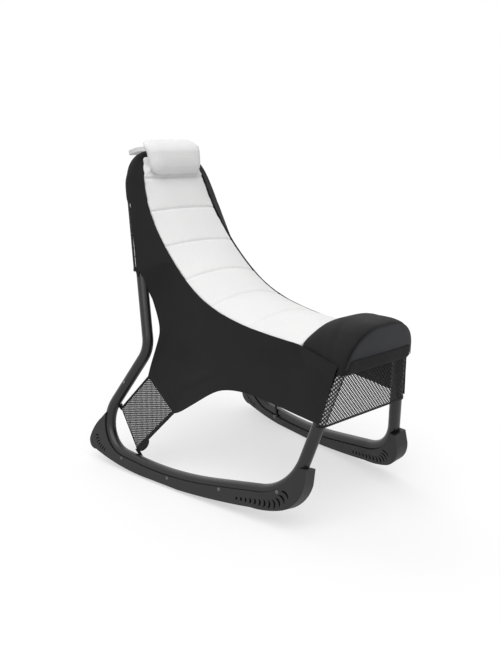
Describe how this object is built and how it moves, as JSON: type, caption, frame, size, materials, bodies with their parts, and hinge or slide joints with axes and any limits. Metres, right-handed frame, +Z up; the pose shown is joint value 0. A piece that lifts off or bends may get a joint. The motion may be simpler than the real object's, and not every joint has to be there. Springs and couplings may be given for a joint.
{
  "type": "gaming rocker chair",
  "caption": "Floor rocker with a bent tube frame on curved shoes, a slung fabric cover, a quilted pad, a thigh bolster and a strapped headrest pillow.",
  "frame": {"origin": "on the floor under the middle of the chair's bounding box", "axes": "+Z up, the chair faces -Y, +X to the sitter's left; the halves mirror across X = 0"},
  "size_m": [0.6692, 0.9063, 0.9397],
  "materials": {
    "frame_steel": "satin",
    "button_steel": "satin",
    "shoe_plastic": "matte",
    "cover_weave": "matte",
    "pad_knit": "matte",
    "pillow_knit": "matte",
    "elastic": "matte",
    "bolster_cloth": "matte",
    "cap_cloth": "satin",
    "webbing": "matte",
    "net": "matte"
  },
  "bodies": {
    "chair": {"back_hoop": "frame_steel", "front_hoop": "frame_steel", "seat_pad": "pad_knit", "thigh_bolster": "bolster_cloth", "front_cap": "cap_cloth", "front_strap": "webbing", "front_mesh": "net", "back_mesh": "net", "rail_tube_right": "frame_steel", "rocker_shoe_right": "shoe_plastic", "button_clip_right": "button_steel", "side_panel_right": "cover_weave", "wing_mesh_right": "net", "wing_tape_right": "webbing", "stud_upper_right": "button_steel", "stud_lower_right": "button_steel", "eyelet_upper_right": "webbing", "eyelet_lower_right": "webbing", "shoe_screw_right_1": "button_steel", "shoe_screw_right_2": "button_steel", "shoe_screw_right_3": "button_steel", "shoe_screw_right_4": "button_steel", "rail_tube_left": "frame_steel", "rocker_shoe_left": "shoe_plastic", "button_clip_left": "button_steel", "side_panel_left": "cover_weave", "wing_mesh_left": "net", "wing_tape_left": "webbing", "stud_upper_left": "button_steel", "stud_lower_left": "button_steel", "eyelet_upper_left": "webbing", "eyelet_lower_left": "webbing", "shoe_screw_left_1": "button_steel", "shoe_screw_left_2": "button_steel", "shoe_screw_left_3": "button_steel", "shoe_screw_left_4": "button_steel"},
    "headrest": {"headrest_pillow": "pillow_knit", "headrest_elastic": "elastic"},
    "snap_right": {"snap_button_right": "button_steel"},
    "snap_left": {"snap_button_left": "button_steel"}
  },
  "joints": [
    {"name": "headrest_height", "type": "slide", "parent": "chair", "child": "headrest", "axis": [0, 0.2079, 0.9781], "range_m": [0, 0.05]},
    {"name": "snap_right_press", "type": "slide", "parent": "chair", "child": "snap_right", "axis": [0.9626, 0.1383, -0.2331], "range_m": [0, 0.003], "stiffness_N_per_m": 1500, "springref_m": -0.002},
    {"name": "snap_left_press", "type": "slide", "parent": "chair", "child": "snap_left", "axis": [-0.9626, 0.1383, -0.2331], "range_m": [0, 0.003], "stiffness_N_per_m": 1500, "springref_m": -0.002}
  ]
}
